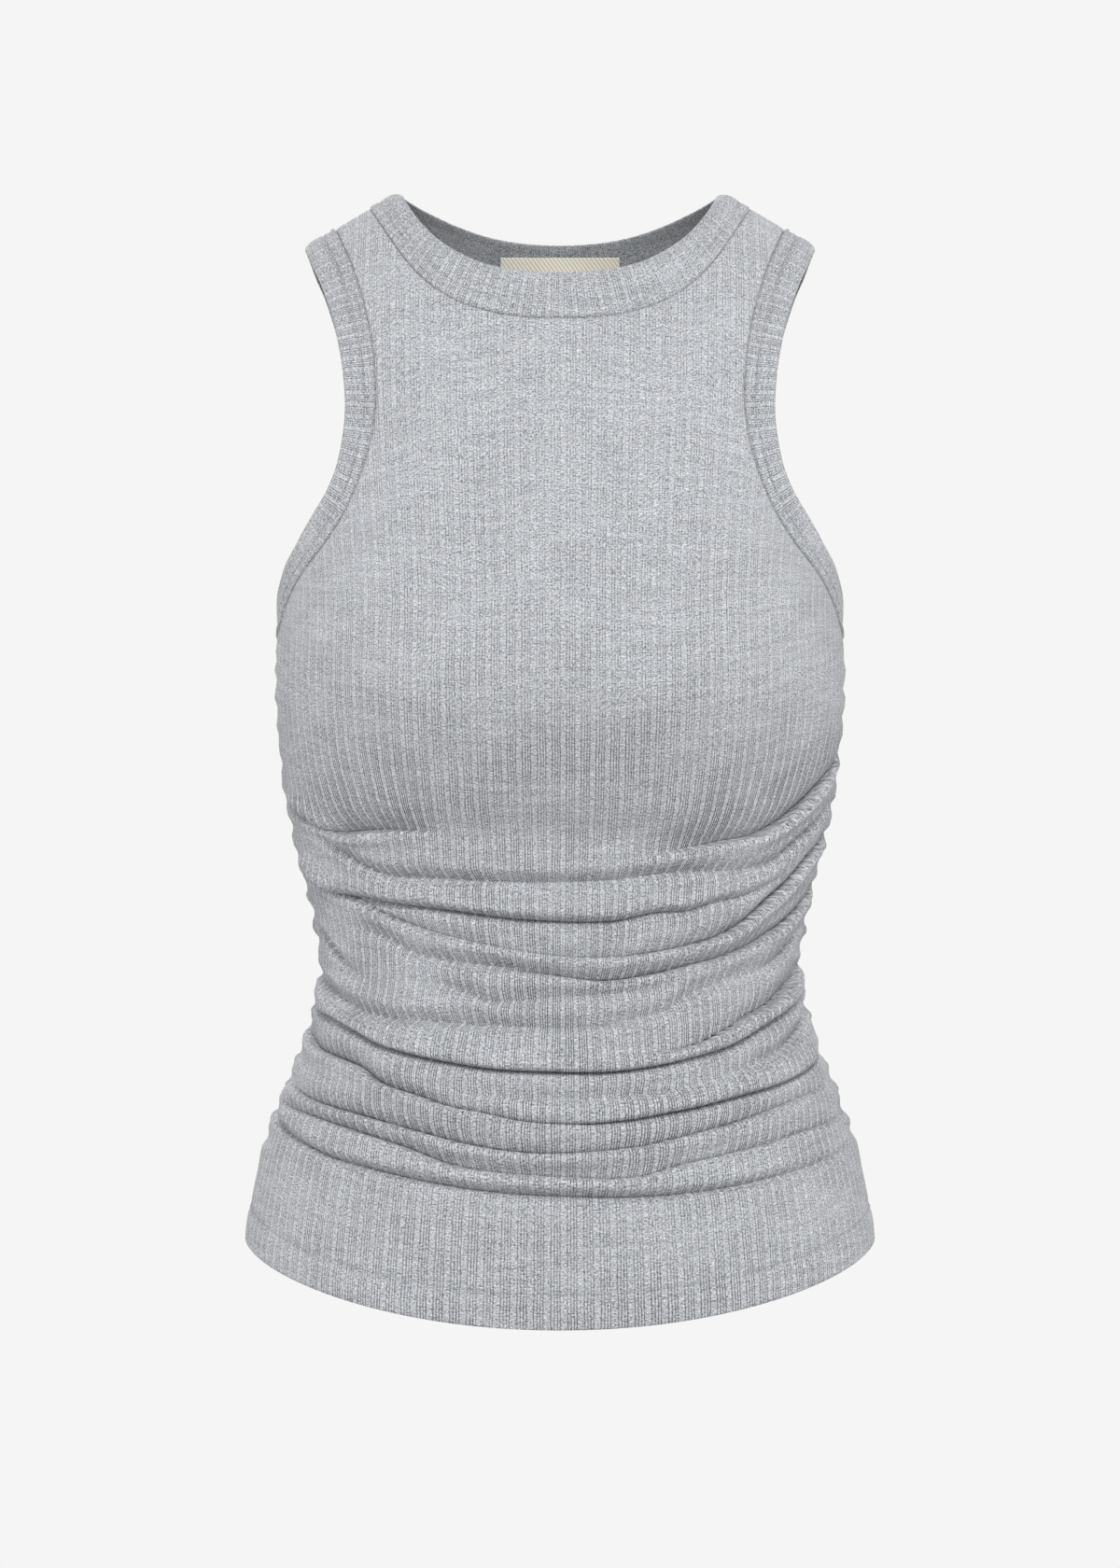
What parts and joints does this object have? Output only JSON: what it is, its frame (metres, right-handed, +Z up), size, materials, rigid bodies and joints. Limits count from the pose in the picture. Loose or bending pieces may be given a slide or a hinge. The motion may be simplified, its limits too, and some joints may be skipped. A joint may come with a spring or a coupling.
{
  "type": "tank top",
  "caption": "Fitted rib-knit tank top, hollow in its worn shape, with a high round neck, cut-away shoulders, bound armholes and gathered side seams.",
  "frame": {"origin": "midway between the two straps, at the height where they rest on the wearer's shoulders, above the side seams", "axes": "+Z up along the body, -Y out of the front, +X towards the wearer's left"},
  "size_m": [0.3094, 0.221, 0.5479],
  "materials": {
    "rib_knit": "matte heather rib knit",
    "label_tape": "matte woven tape"
  },
  "bodies": {
    "root": {"front_panel": "rib_knit", "back_panel": "rib_knit", "neck_binding": "rib_knit", "armhole_binding_left": "rib_knit", "armhole_binding_right": "rib_knit", "neck_label": "label_tape"}
  },
  "joints": []
}
